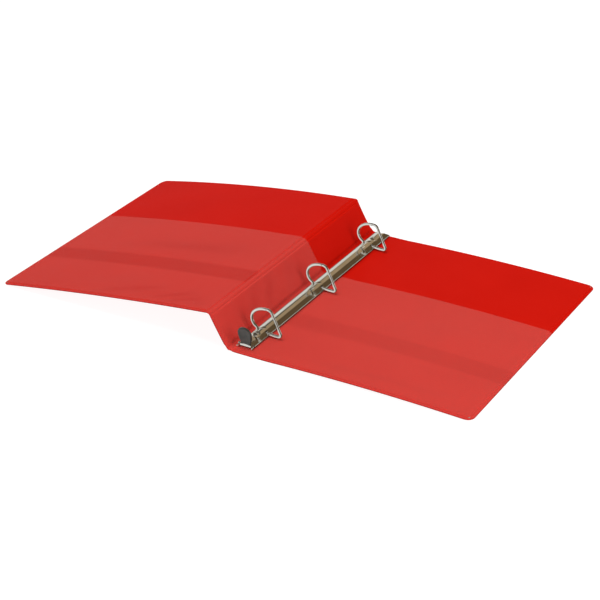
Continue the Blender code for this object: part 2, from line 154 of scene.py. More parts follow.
def vinyl_material(name, colour, deep, shade_band_depth):
    m = Nodes(name)
    cloud = m.noise(14.0, 2.0)
    grain = m.noise(1500.0, 2.0, 0.6)
    pores = m.noise(420.0, 3.0, 0.6)
    plain = m.mix(m.span(cloud, 0.35, 0.65, 0.0, 1.0), (*deep, 1), (*colour, 1))
    # Painted shade: within the band the vinyl's colour is mixed towards black.
    m.set(
        Base_Color=m.mix(m.math("MULTIPLY", shade_band_share(m), shade_band_depth), plain, (0.0, 0.0, 0.0, 1)),
        Roughness=m.span(pores, 0.3, 0.7, 0.36, 0.46),
        Specular_IOR_Level=0.01,
    )
    m.bump((pores, 0.12, 0.00012), (grain, 0.18, 0.00006))
    return m.material


def film_material(name, haze, shade_band_haze):
    """Clear film. Haze is the share of its tint that each face lays over what is behind it. Wrinkles get painted
    shade.
    """
    m = Nodes(name)
    cloud = m.span(m.noise(9.0, 2.0, stretch=(1, 1.6, 1)), 0.3, 0.7, -0.001, 0.001)
    # Painted shade: within the band the film has less haze.
    share = m.math("ADD", m.span(shade_band_share(m), 0.0, 1.0, haze, haze * shade_band_haze), cloud)
    # Painted shade in the wrinkles: more haze there, and a dark tint.
    painted_crease_shade = m.add("ShaderNodeAttribute", attribute_name="painted_crease_shade").outputs["Fac"]
    share = m.math("MULTIPLY", share, m.span(painted_crease_shade, 0.0, 1.0, 1.0, 1.9))
    edge = m.add("ShaderNodeLayerWeight", {"Blend": 0.2}).outputs["Fresnel"]
    m.set(
        Base_Color=m.mix(painted_crease_shade, (0.98, 0.88, 0.76, 1), (0.32, 0.40, 0.35, 1)),
        Roughness=0.3,
        Specular_IOR_Level=0.5,
        Alpha=m.math("ADD", share, m.math("MULTIPLY", edge, 0.01)),
    )
    m.material.surface_render_method = "BLENDED"
    return m.material


def nickel_material(name, roughness, tint=(0.74, 0.70, 0.62)):
    m = Nodes(name)
    brushed = m.noise(700.0, 3.0, 0.6, stretch=(1.0, 0.03, 1.0))
    smudge = m.noise(60.0, 3.0)
    m.set(
        Base_Color=m.mix(m.span(smudge, 0.35, 0.7, 0.0, 1.0), (*tint, 1), (*[c * 0.9 for c in tint], 1)),
        Metallic=1.0,
        Roughness=m.span(smudge, 0.3, 0.7, roughness * 0.8, roughness * 1.3),
    )
    m.bump((brushed, 0.06, 0.00005))
    return m.material


def plastic_material(name):
    m = Nodes(name)
    orange_peel = m.noise(700.0, 2.0)
    smudge = m.noise(240.0, 3.0)
    deep, worn = (0.022, 0.020, 0.017, 1), (0.050, 0.044, 0.036, 1)
    m.set(
        Base_Color=m.mix(m.span(smudge, 0.35, 0.65, 0.0, 1.0), deep, worn),
        Roughness=m.span(smudge, 0.3, 0.7, 0.3, 0.5),
        Specular_IOR_Level=0.6,
    )
    m.bump((orange_peel, 0.25, 0.00008))
    return m.material


def board_material(name):
    m = Nodes(name)
    fibres = m.noise(260.0, 5.0, 0.7, stretch=(1, 0.35, 1))
    m.set(
        Base_Color=m.mix(m.span(fibres, 0.35, 0.65, 0.0, 1.0), (0.24, 0.21, 0.17, 1), (0.38, 0.34, 0.28, 1)),
        Roughness=0.9,
    )
    m.bump((fibres, 0.4, 0.0001))
    return m.material


VINYL_COLOURS = (0.565, 0.0075, 0.0030), (0.545, 0.0068, 0.0026)
# Each panel's vinyl, and how far the band of painted shade darkens it.
VINYLS = {
    name: vinyl_material(f"red_vinyl_{name}", *VINYL_COLOURS, depth)
    for name, depth in {"back": 0.085, "spine": 0.0, "front": 0.11}.items()
}
FILMS = {name: film_material(f"clear_film_{name}", *look) for name, look in FILM_LOOKS.items()}
NICKEL = nickel_material("nickel_plate", 0.1, (0.80, 0.77, 0.70))
WIRE = nickel_material("nickel_wire", 0.09, (0.84, 0.83, 0.78))
STEEL = nickel_material("plain_steel", 0.28, (0.62, 0.60, 0.57))
PLASTIC = plastic_material("black_moulding")
BOARD = board_material("chipboard")


# ---- making pieces ------------------------------------------------------------------------------------------


def smooth_step(value):
    value = np.clip(value, 0, 1)
    return value * value * (3 - 2 * value)


def add_piece(name, mesh, material, body=None, replaces=(), sharp=40):
    """A finished piece. With no body it is left unattached, and the caller may cut it and give it one.

    Only metal and moulding show in reflections, so that the metal mirrors the studio and not the red cover.
    """
    mesh.materials.append(material)
    mesh.shade_smooth()
    mesh.set_sharp_from_angle(angle=math.radians(sharp))
    piece = bpy.data.objects.new(name, mesh)
    bpy.context.scene.collection.objects.link(piece)
    piece.visible_glossy = material in (NICKEL, WIRE, STEEL, PLASTIC)
    if body:
        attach(piece, body)
    if replaces:
        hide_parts(*replaces)
    return piece


def closed_mesh(name, points, faces):
    mesh = bpy.data.meshes.new(name)
    mesh.from_pydata([tuple(point) for point in points], [], faces)
    bm = bmesh.new()
    bm.from_mesh(mesh)
    bmesh.ops.recalc_face_normals(bm, faces=bm.faces)
    bm.to_mesh(mesh)
    bm.free()
    return mesh


def grid_shell(name, front, back):
    """A closed solid between two grids of points, each rows x columns x 3."""
    rows, columns = front.shape[:2]
    points = np.concatenate([front.reshape(-1, 3), back.reshape(-1, 3)])
    count = rows * columns
    faces = []
    for i in range(rows - 1):
        for j in range(columns - 1):
            a, b = i * columns + j, (i + 1) * columns + j
            faces.append((a, b, b + 1, a + 1))
            faces.append((a + count, a + 1 + count, b + 1 + count, b + count))
    rim = [(0, j) for j in range(columns - 1)] + [(i, columns - 1) for i in range(rows - 1)]
    rim += [(rows - 1, j) for j in range(columns - 1, 0, -1)] + [(i, 0) for i in range(rows - 1, 0, -1)]
    loop = [i * columns + j for i, j in rim]
    for a, b in zip(loop, loop[1:] + loop[:1]):
        faces.append((a, a + count, b + count, b))
    return closed_mesh(name, points, faces)


def cut(piece, cutters):
    """Cuts a finished mesh by closed meshes that stand clear of one another."""
    bm = bmesh.new()
    for cutter in cutters:
        bm.from_mesh(cutter)
        bpy.data.meshes.remove(cutter)
    joined = bpy.data.meshes.new(f"{piece.name}_cutter")
    bm.to_mesh(joined)
    bm.free()
    tool = bpy.data.objects.new(f"{piece.name}_cutter", joined)
    bpy.context.scene.collection.objects.link(tool)
    modifier = piece.modifiers.new("cut", "BOOLEAN")
    modifier.object = tool
    modifier.solver = "EXACT"
    bpy.context.view_layer.update()
    graph = bpy.context.evaluated_depsgraph_get()
    mesh = bpy.data.meshes.new_from_object(piece.evaluated_get(graph))
    piece.modifiers.clear()
    old, piece.data = piece.data, mesh
    bpy.data.meshes.remove(old)
    bpy.data.objects.remove(tool)
    bpy.data.meshes.remove(joined)


def round_cutter(radius, start, end, segments=40):
    start, end = Vector(start), Vector(end)
    bm = bmesh.new()
    bmesh.ops.create_cone(
        bm, cap_ends=True, segments=segments, radius1=radius, radius2=radius, depth=(end - start).length
    )
    turn = (end - start).to_track_quat("Z", "Y").to_matrix().to_4x4()
    bmesh.ops.transform(bm, matrix=Matrix.Translation((start + end) / 2) @ turn, verts=bm.verts)
    mesh = bpy.data.meshes.new("round_cutter")
    bm.to_mesh(mesh)
    bm.free()
    return mesh


def box_cutter(low, high, bevel=0.0):
    low, high = Vector(low), Vector(high)
    bm = bmesh.new()
    bmesh.ops.create_cube(bm, size=1)
    bmesh.ops.scale(bm, vec=high - low, verts=bm.verts)
    bmesh.ops.translate(bm, vec=(low + high) / 2, verts=bm.verts)
    if bevel:
        bmesh.ops.bevel(bm, geom=bm.edges[:], offset=bevel, segments=4, profile=0.5, affect="EDGES")
    mesh = bpy.data.meshes.new("box_cutter")
    bm.to_mesh(mesh)
    bm.free()
    return mesh


# ---- the cover ----------------------------------------------------------------------------------------------

WELD = -0.35 * MM  # height of the welded flange's middle, from the middle of the board
REAR_RISE = 0.9 * MM  # how much higher the strip at the spine's foot lies, as it is pushed up between the boards
FLANGE = 0.4 * MM  # half the flange's thickness
SKIN = 0.35 * MM
HINGE_EDGE = 2.4 * MM  # where a panel ends and the hinge strip begins, from the hinge's axis


class Panel:
    """A panel of the cover. s runs along it from its hinge, and h is the height over its middle, inner side up."""

    def __init__(self, body, origin, along, length, bow_start, bow, has_free_edge, hinge_rise=0.0):
        self.body, self.origin, self.length = body, np.array(origin), length
        self.along = np.array(along.normalized())
        self.up = np.array(Vector((0, 1, 0)).cross(along).normalized())
        if self.up[2] < 0:
            self.up = -self.up
        self.bow_start, self.bow, self.has_free_edge = bow_start, bow, has_free_edge
        self.hinge_rise = hinge_rise

    def lift(self, s, y):
        share = np.clip((s - self.bow_start) / (self.length - self.bow_start), 0, 1)
        return 4 * self.bow(y) * share * (1 - share)

    def place(self, s, y, h):
        """World points. A square corner of the grid becomes a round corner of the panel."""
        lifted = h + self.lift(s, y)
        if self.has_free_edge:
            centre_s, centre_y = self.length - CORNER_RADIUS, HALF_HEIGHT - CORNER_RADIUS
            a, b = s - centre_s, np.abs(y) - centre_y
            inside = (a > 0) & (b > 0)
            a, b = np.where(inside, a, 1.0), np.where(inside, b, 1.0)
            radius = np.maximum(a, b)
            turn = np.where(b <= a, b / a, 2 - a / b) * math.pi / 4
            s = np.where(inside, centre_s + radius * np.cos(turn), s)
            y = np.where(inside, np.sign(y) * (centre_y + radius * np.sin(turn)), y)
        points = self.origin + s[..., None] * self.along + lifted[..., None] * self.up
        points[..., 1] = y
        return points

    def edge_distance(self, s, y):
        distance = HALF_HEIGHT - np.abs(y)
        return np.minimum(distance, self.length - s) if self.has_free_edge else distance

    def fullness(self, s, y):
        """0 on the welded flange and the hinge, and 1 over the board."""
        full = smooth_step((self.edge_distance(s, y) - 2.1 * MM) / (1.5 * MM))
        full = full * smooth_step((s - 2.7 * MM) / (1.7 * MM))
        if not self.has_free_edge:
            full = full * smooth_step((self.length - s - 2.7 * MM) / (1.7 * MM))
        return full

    def weld(self, s):
        """The height of the flange's middle."""
        return WELD + self.hinge_rise * smooth_step((7 * MM - s) / (4 * MM))

    def inner_face(self, s, y):
        full = self.fullness(s, y)
        low, high = self.weld(s) + FLANGE, HALF_THICKNESS
        edge = self.edge_distance(s, y)
        crimp = 0.12 * MM * np.exp(-(((edge - 1.3 * MM) / (0.35 * MM)) ** 2))
        roll = 0.22 * MM * smooth_step(1 - edge / (0.35 * MM))
        bead = 0.10 * MM * np.exp(-(((edge - 3.3 * MM) / (0.6 * MM)) ** 2))
        wave = 0.03 * MM * np.sin(y * 95 + s * 40) * np.sin(s * 70 - y * 23)
        return low + (high - low) * full - crimp - roll + bead * full + wave * full

    def outer_face(self, s, y):
        full = self.fullness(s, y)
        low, high = -HALF_THICKNESS, self.weld(s) - FLANGE
        roll = 0.22 * MM * smooth_step(1 - self.edge_distance(s, y) / (0.35 * MM))
        return high + (low - high) * full + roll


BACK = Panel("back", REAR, Vector((1, 0, 0)), COVER_WIDTH, 42 * MM, lambda y: 2.2 * MM + 0 * y, True, REAR_RISE)
SPINE = Panel("spine", REAR, TOP - REAR, SPINE_WIDTH, 0.0, lambda y: -0.5 * MM - 1.2 * y * MM, False, REAR_RISE)
FRONT_DROP = -math.asin((TOP.z - REAR.z) / COVER_WIDTH)
FRONT_ALONG = Vector((-math.cos(FRONT_DROP), 0, math.sin(FRONT_DROP)))
FRONT = Panel("front", TOP, FRONT_ALONG, COVER_WIDTH, 0.0, lambda y: 3.2 * MM + 6.5 * y * MM, True)

EDGE_STEPS = [0, 0.12, 0.35, 0.7, 1.0, 1.3, 1.6, 2.1, 2.4, 2.7, 3.0, 3.3, 3.6, 4.1, 4.8, 5.8, 6.9, 8.0]


def graded(low, high, fine_low, fine_high, step, low_offset=0.0, high_offset=0.0):
    """Distances from low to high, close together by each welded edge.

    An offset says how far inside its edge an end is.
    """

    def steps(offset):
        return [e * MM - offset for e in EDGE_STEPS if e * MM >= offset - 1e-9]

    start = [low + step_in for step_in in steps(low_offset)] if fine_low else [low]
    end = [high - step_in for step_in in steps(high_offset)] if fine_high else [high]
    middle_low, middle_high = start[-1], end[-1]
    count = max(1, round((middle_high - middle_low) / step))
    middle = [middle_low + (middle_high - middle_low) * k / count for k in range(1, count)]
    return np.array(start + middle + end[::-1])


def hinge_side(end=8 * MM):
    """Distances from a hinge's axis, close together over the shoulder beside it."""
    return [HINGE_EDGE + k * 0.25 * MM for k in range(10)] + [5.2 * MM, 6.2 * MM, end]


def panel_grid(panel, step, film=False):
    near_hinge = hinge_side()
    offset = FILM_INSET if film else 0.0
    if panel.has_free_edge:
        far = graded(near_hinge[-1], panel.length - offset, False, True, step, high_offset=offset)
        s = np.concatenate([near_hinge[:-1], far])
    else:
        middle = np.linspace(near_hinge[-1], panel.length - near_hinge[-1], 8)[1:-1]
        s = np.concatenate([near_hinge, middle, [panel.length - e for e in reversed(near_hinge)]])
    if film:
        y = graded(-HALF_HEIGHT + offset, FILM_TOP, True, False, step, low_offset=offset)
    else:
        y = graded(-HALF_HEIGHT, HALF_HEIGHT, True, True, step)
    return np.meshgrid(s, y, indexing="ij")


def rivet_cutters(radius):
    return [round_cutter(radius, (MECHANISM_X, y, -2 * MM), (MECHANISM_X, y, 6 * MM)) for y in RIVET_Y]


def add_skins(name, panel):
    s, y = panel_grid(panel, 6 * MM)
    inner = panel.inner_face(s, y)
    full = panel.fullness(s, y)
    under = inner - (FLANGE - 0.01 * MM) * (1 - full) - SKIN * full
    mesh = grid_shell(f"{name}_inner_skin", panel.place(s, y, inner), panel.place(s, y, under))
    top = add_piece(f"{name}_inner_skin", mesh, VINYLS[name], replaces=[f"{name}_inner_vinyl"])
    outer = panel.outer_face(s, y)
    over = outer + (FLANGE - 0.01 * MM) * (1 - full) + SKIN * full
    mesh = grid_shell(f"{name}_outer_skin", panel.place(s, y, over), panel.place(s, y, outer))
    bottom = add_piece(f"{name}_outer_skin", mesh, VINYLS["spine"], replaces=[f"{name}_outer_vinyl"])
    if name == "back":
        cut(top, rivet_cutters(2.3 * MM))
        cut(bottom, rivet_cutters(5.3 * MM))
    for piece in (top, bottom):
        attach(piece, panel.body)


def add_board(name, panel):
    """The stiff board, which follows the panel's arch."""
    edge = 3.6 * MM
    free = panel.length - (edge if panel.has_free_edge else 5 * MM)
    s = np.linspace(5 * MM, free, 24 if panel.has_free_edge else 6)
    y = np.linspace(-HALF_HEIGHT + edge, HALF_HEIGHT - edge, 26)
    s, y = np.meshgrid(s, y, indexing="ij")
    half = np.full_like(s, 0.6 * MM)
    lift = panel.lift(s, y)
    sides = []
    for h in (half, -half):
        points = panel.origin + s[..., None] * panel.along + (h + lift)[..., None] * panel.up
        points[..., 1] = y
        sides.append(points)
    mesh = grid_shell(f"{name}_stiffener", *sides)
    board = add_piece(f"{name}_stiffener", mesh, BOARD, replaces=[f"{name}_board"])
    if name == "back":
        cut(board, rivet_cutters(2.3 * MM))
    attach(board, panel.body)


def streak(s, y, start, end, width, strength):
    """A long soft wrinkle from one (s, y) in mm to another, fading towards both ends and wider at its second."""
    start, end = np.array(start) * MM, np.array(end) * MM
    run = end - start
    length = np.linalg.norm(run)
    along = ((s - start[0]) * run[0] + (y - start[1]) * run[1]) / length
    aside = ((s - start[0]) * -run[1] + (y - start[1]) * run[0]) / length
    share = np.clip(along / length, 0, 1)
    fade = np.sin(math.pi * share) ** 0.8 * (along > 0) * (along < length)
    width = width * MM * (0.5 + share)
    return strength * fade * np.exp(-((aside / width) ** 2))


# The film's wrinkles on each panel, raised and with painted shade: start and end as (s, y), width and strength.
STREAKS = {
    "back": [((60, -132), (215, -124), 4.0, 0.4), ((150, -130), (232, -123), 3.0, 0.45)],
    "spine": [((2, -100), (40, -66), 8.0, 0.6), ((2, -72), (40, -36), 9.0, 0.6), ((4, -30), (38, -2), 7.0, 0.4)],
    "front": [
        ((150, -142), (62, -110), 5.5, 0.75),
        ((85, -142), (28, -114), 4.0, 0.8),
        ((58, -142), (14, -123), 3.2, 0.8),
        ((38, -142), (6, -131), 2.4, 0.7),
        ((118, -142), (50, -112), 4.0, 0.4),
        ((215, -34), (10, -10), 11.0, 0.6),
        ((190, -128), (90, -100), 8.0, 0.3),
    ],
}


def creases(name, s, y):
    """0 on flat film, and towards 1 in its wrinkles."""
    depth = np.zeros_like(s)
    for wrinkle in STREAKS[name]:
        depth = np.maximum(depth, streak(s, y, *wrinkle))
    return depth


WRINKLE_HEIGHT = 0.6 * MM
# How much of a wrinkle's depth reaches the film's material as painted shade.
CREASE_SHADE = 1.6  # how much of a wrinkle's depth reaches the film's material


def wrinkles(name, s, y):
    ripple = 0.05 * MM * (1 + np.sin(s * 130 + 3 * np.sin(y * 31)) * np.sin(y * 90 + 2 * np.sin(s * 27)))
    return ripple + WRINKLE_HEIGHT * creases(name, s, y)


def add_film(name, panel):
    s, y = panel_grid(panel, 2.5 * MM if name == "front" else 3 * MM, film=True)
    edge = panel.edge_distance(s, y) - FILM_INSET
    free = smooth_step(edge / (6 * MM)) * smooth_step((s - 3 * MM) / (8 * MM))
    if not panel.has_free_edge:
        free = free * smooth_step((panel.length - s - 3 * MM) / (8 * MM))
    gap = 0.04 * MM + (0.12 * MM + wrinkles(name, s, y)) * free
    under = panel.inner_face(s, y) + gap
    film = grid_shell(f"{name}_film", panel.place(s, y, under + 0.12 * MM), panel.place(s, y, under))
    # The wrinkles' painted shade, for the film's material.
    painted_crease_shade = film.attributes.new("painted_crease_shade", "FLOAT", "POINT")
    tint = CREASE_SHADE * creases(name, s, y)
    painted_crease_shade.data.foreach_set("value", np.tile(tint.ravel(), 2).astype(np.float32))
    piece = add_piece(f"{name}_film", film, FILMS[name], replaces=[f"{name}_pocket_film"])
    if name == "back":
        cut(piece, rivet_cutters(2.3 * MM)[:1])
    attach(piece, panel.body)


def strip_path(origin, first, second, height, steps=14):
    """Points and normals across a hinge, tangent to both panels. first and second are (along, up)."""
    (along_a, up_a), (along_b, up_b) = first, second
    system = np.array([[up_a[0], up_a[2]], [up_b[0], up_b[2]]])
    x, z = np.linalg.solve(system, [height, height])
    knee = origin + np.array([x, 0, z])
    start = origin + along_a * HINGE_EDGE + up_a * height
    end = origin + along_b * HINGE_EDGE + up_b * height
    share = np.linspace(0, 1, steps)[:, None]
    points = (1 - share) ** 2 * start + 2 * share * (1 - share) * knee + share**2 * end
    tangents = (1 - share) * (knee - start) + share * (end - knee)
    normals = np.cross(tangents, (0, 1, 0))
    normals /= np.linalg.norm(normals, axis=1)[:, None]
    if normals[0] @ up_a < 0:
        normals = -normals
    return points, normals


def add_hinge_strip(name, origin, first, second, heights, y_values, material, replaces=()):
    """The living hinge or the film over it. heights are those of its outer and inner faces beside the panels."""
    middle = (heights[0] + heights[1]) / 2
    half = (heights[1] - heights[0]) / 2
    points, normals = strip_path(np.array(origin), first, second, middle)
    faces = []
    for sign in (1, -1):
        face = np.repeat((points + sign * half * normals)[:, None, :], len(y_values), axis=1)
        face[..., 1] = y_values
        faces.append(face)
    mesh = grid_shell(name, *faces)
    strip = add_piece(name, mesh, material, replaces=replaces)
    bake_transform(strip)


def add_cover():
    panels = {"back": BACK, "spine": SPINE, "front": FRONT}
    for name, panel in panels.items():
        add_skins(name, panel)
        add_board(name, panel)
        add_film(name, panel)
    hinges = {
        "rear": (("back", "spine"), REAR, (BACK.along, BACK.up), (SPINE.along, SPINE.up), WELD + REAR_RISE),
        "front": (("spine", "front"), TOP, (-SPINE.along, SPINE.up), (FRONT.along, FRONT.up), WELD),
    }
    whole = graded(-HALF_HEIGHT, HALF_HEIGHT, True, True, 12 * MM)
    filmed = graded(-HALF_HEIGHT + FILM_INSET, FILM_TOP, True, False, 12 * MM, low_offset=FILM_INSET)
    for name, (bodies, origin, first, second, level) in hinges.items():
        face = level + FLANGE
        vinyl = (level - FLANGE, face)
        film = (face + 0.04 * MM, face + 0.16 * MM)
        add_hinge_strip(
            f"{name}_hinge", origin, first, second, vinyl, whole, VINYLS["spine"], [f"{name}_hinge_web"]
        )
        add_hinge_strip(f"{name}_hinge_film", origin, first, second, film, filmed, FILMS["spine"])


# ---- the ring mechanism -------------------------------------------------------------------------------------

WIRE_RADIUS = 1.4 * MM


def tube(name, route, y, radius=WIRE_RADIUS, sides=24, rounding=0.25 * MM):
    """A round wire in the plane of constant y, with its ends' rims rounded. route is a list of (x, z)."""
    route = np.array(route)
    tangents = np.gradient(route, axis=0)
    tangents /= np.linalg.norm(tangents, axis=1)[:, None]
    stations = []
    for end, sign in ((0, 1), (-1, -1)):
        ring = []
        for angle in (0, 22.5, 45, 67.5):
            turn = math.radians(angle)
            inset = rounding * (1 - math.sin(turn))
            rim = radius - rounding * (1 - math.cos(turn))
            ring.append((route[end] + sign * tangents[end] * inset, tangents[end], rim))
        stations.append(ring)
    first, last = stations
    rows = first[::-1] + [(p, t, radius) for p, t in zip(route[1:-1], tangents[1:-1])] + last
    points = []
    for point, tangent, r in rows:
        aside = np.array([tangent[1], -tangent[0]])
        for k in range(sides):
            angle = 2 * math.pi * k / sides
            offset = aside * r * math.cos(angle)
            points.append((point[0] + offset[0], y + r * math.sin(angle), point[1] + offset[1]))
    faces = []
    for i in range(len(rows) - 1):
        for k in range(sides):
            a, b = i * sides + k, i * sides + (k + 1) % sides
            faces.append((a, b, b + sides, a + sides))
    faces.append(tuple(range(sides)))
    faces.append(tuple((len(rows) - 1) * sides + k for k in range(sides)))
    return closed_mesh(name, points, faces)


def arc(centre, radii, start, end, steps):
    for step in range(steps + 1):
        angle = math.radians(start + (end - start) * step / steps)
        yield np.array([centre[0] + radii[0] * math.cos(angle), centre[1] + radii[1] * math.sin(angle)])


def rounded(corners, radii, steps=14):
    points = [np.array(corners[0])]
    for before, corner, after, radius in zip(corners, corners[1:], corners[2:], radii):
        before, corner, after = Vector(before), Vector(corner), Vector(after)
        back, on = (before - corner).normalized(), (after - corner).normalized()
        half = back.angle(on) / 2
        centre = corner + (back + on).normalized() * radius / math.sin(half)
        first, last = corner + back * radius / math.tan(half), corner + on * radius / math.tan(half)
        for step in range(steps + 1):
            chord = first.lerp(last, step / steps) - centre
            points.append(np.array(centre + chord.normalized() * radius))
    return points + [np.array(corners[-1])]


def dense(route, step=1.2 * MM):
    """The same route with long straight stretches divided."""
    points = [route[0]]
    for point in route[1:]:
        count = max(1, round(float(np.linalg.norm(point - points[-1])) / step))
        last = points[-1]
        points += [last + (point - last) * k / count for k in range(1, count + 1)]
    return points


def left_route():
    foot_x, foot_z = -4.2 * MM, 5.15 * MM
    belly, belly_radius = (0.2 * MM, 19.4 * MM), 10.7 * MM
    top_z, tip = 32.0 * MM, 6.7 * MM
    top = (6.3 * MM, belly[1])
    lower = list(arc(belly, (belly_radius, belly_radius), 235, 190, 14))
    knee = (foot_x, lower[0][1] - (foot_x - lower[0][0]) * math.tan(math.radians(35)))
    foot = rounded([(foot_x, foot_z), knee, tuple(lower[0])], [1.7 * MM], steps=6)
    upper = list(arc(top, (top[0] - belly[0] + belly_radius, top_z - top[1]), 180, 90, 32))
    return dense(foot[:-1] + lower + upper + [np.array([tip, top_z])])


def right_route():
    run_z, post_x, top_z, tip = 5.3 * MM, 23.7 * MM, 32.0 * MM, 7.0 * MM
    lean = math.tan(math.radians(24.9))
    corners = [
        (4.5 * MM, 6.3 * MM),
        (15.5 * MM, run_z),
        (post_x, run_z),
        (post_x - (top_z - run_z) * lean, top_z),
        (tip, top_z),
    ]
    return dense(rounded(corners, [12 * MM, 2.4 * MM, 5 * MM]))


def add_rings():
    for ring, y in RING_Y.items():
        for side, route in (("left", left_route()), ("right", right_route())):
            route = [point + np.array([MECHANISM_X, 0]) for point in route]
            node = f"ring_{side}_{ring}"
            add_piece(f"{node}_wire", tube(node, route, y), WIRE, f"{side}_rings", [node])


SHELL_OUTER, SHELL_INNER = 0.4 * MM, 0.15 * MM  # the sheet's faces, from the line that its section is given by
SHELL_X, SHELL_DROP = MECHANISM_X + 0.6 * MM, 0.4 * MM
SHELL_NEAR, SHELL_FAR, SHELL_NOTCH = -140.2 * MM, 143.2 * MM, 10.7 * MM
RIVET_X = SHELL_X - 0.3 * MM


def shell_half_section():
    """A line through the sheet from the crown's centre down to the curled rim, as (x, z)."""
    top, crown_radius, crown_slope, shoulder_x = 9.2 * MM, 7.5 * MM, 14, 4.25 * MM
    rim, curl_radius, flank_turn, edge_turn = (7.2 * MM, 4.65 * MM), 0.95 * MM, 37.4, -30
    crown = list(arc((0, top - crown_radius), (crown_radius, crown_radius), 90, 90 - crown_slope, 8))
    shoulder_z = crown[-1][1] - (shoulder_x - crown[-1][0]) * math.tan(math.radians(crown_slope))
    curl = list(arc(rim, (curl_radius, curl_radius), flank_turn, edge_turn, 10))
    side = rounded([tuple(crown[-1]), (shoulder_x, shoulder_z), tuple(curl[0])], [0.7 * MM], steps=8)
    return dense(crown[:-1] + side[:-1] + curl, 0.5 * MM)


def shell_stations():
    """Places along the shell, close together by its pressed marks."""
    stations = set(np.linspace(SHELL_NEAR, SHELL_FAR, 48))
    for y in RING_Y.values():
        stations |= set(np.arange(y - 24 * MM, y + 10 * MM, 0.45 * MM))
    for y in RIVET_Y:
        stations |= set(np.arange(y - 6 * MM, y + 6 * MM, 0.45 * MM))
    ordered = sorted(y for y in stations if SHELL_NEAR <= y <= SHELL_FAR)
    kept = [ordered[0]]
    for y in ordered[1:-1]:
        if y - kept[-1] > 0.3 * MM:
            kept.append(y)
    return np.array(kept + [ordered[-1]])


def add_shell():
    half = np.array(shell_half_section())
    section = np.concatenate([half[::-1] * [-1, 1], half[1:]])
    tangents = np.gradient(section, axis=0)
    normals = np.stack([-tangents[:, 1], tangents[:, 0]], axis=1)
    normals /= np.linalg.norm(normals, axis=1)[:, None]
    stations = shell_stations()
    share = (stations - SHELL_NEAR) / (SHELL_FAR - SHELL_NEAR)
    cutback = SHELL_NOTCH * np.clip(1 - np.abs(section[:, 0]) / (8.2 * MM), 0, 1)
    start, end = SHELL_NEAR + cutback, SHELL_FAR - cutback
    y = start[:, None] + (end - start)[:, None] * share[None, :]
    x = np.repeat(section[:, :1], len(share), axis=1)
    dent = shell_dents(x, y)
    faces = []
    for depth in (-SHELL_OUTER, SHELL_INNER):
        moved = section[:, None, :] - normals[:, None, :] * (depth + dent)[..., None]
        faces.append(np.stack([moved[..., 0] + SHELL_X, y, moved[..., 1] - SHELL_DROP], axis=-1))
    shell = add_piece("shell", grid_shell("shell", *faces), NICKEL, replaces=["ring_shell"], sharp=50)
    cutters = []
    for y_ring in RING_Y.values():
        near, far = y_ring - 1.6 * MM, y_ring + 1.6 * MM
        left = (MECHANISM_X - 9 * MM, near, 4.1 * MM), (MECHANISM_X - 2.6 * MM, far, 12 * MM)
        right = (MECHANISM_X + 4.1 * MM, near, 2.5 * MM), (MECHANISM_X + 9 * MM, far, 8.1 * MM)
        cutters += [box_cutter(*left), box_cutter(*right)]
    for y_rivet in RIVET_Y:
        cutters.append(round_cutter(2.1 * MM, (RIVET_X, y_rivet, 7 * MM), (RIVET_X, y_rivet, 12 * MM)))
    across = Vector((12 * MM, 0, 0))
    cutters.append(round_cutter(0.95 * MM, LEVER_PIVOT - across, LEVER_PIVOT + across))
    cut(shell, cutters)
    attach(shell, "back")


def shell_dents(x, y):
    """How deep the shell's pressed marks are: a comma by each ring, and a bulge of the flank before it."""
    depth = np.zeros_like(x)
    for y_ring in RING_Y.values():
        along, aside = y - y_ring, x + 2.1 * MM
        hook = along - 0.6 * MM - 0.75 * aside
        reach = np.exp(-(((aside - 1.9 * MM) / (2.6 * MM)) ** 4))
        depth += 0.4 * MM * reach * np.exp(-((hook / (0.75 * MM)) ** 2))
        head = ((aside - 1.6 * MM) / (0.8 * MM)) ** 2 + ((along - 2.9 * MM) / (0.9 * MM)) ** 2
        depth += 0.5 * MM * np.exp(-head)
        near_end = y_ring - 15.6 * MM - 0.85 * (x - 0.5 * MM)
        bulge = smooth_step((y - near_end) / (2.2 * MM)) * smooth_step((y_ring - 3 * MM - y) / (9 * MM))
        flank = smooth_step((x - 0.8 * MM) / (2 * MM)) * smooth_step((6.7 * MM - x) / (1.7 * MM))
        depth -= 0.5 * MM * bulge * flank
        notch = ((x - 0.5 * MM) / (0.9 * MM)) ** 2 + ((y - near_end) / (1.1 * MM)) ** 2
        depth += 0.45 * MM * np.exp(-notch)
    for y_rivet in RIVET_Y:
        away = np.hypot(x, y - y_rivet)
        depth += 0.35 * MM * smooth_step((5.2 * MM - away) / (1.6 * MM))
    return depth


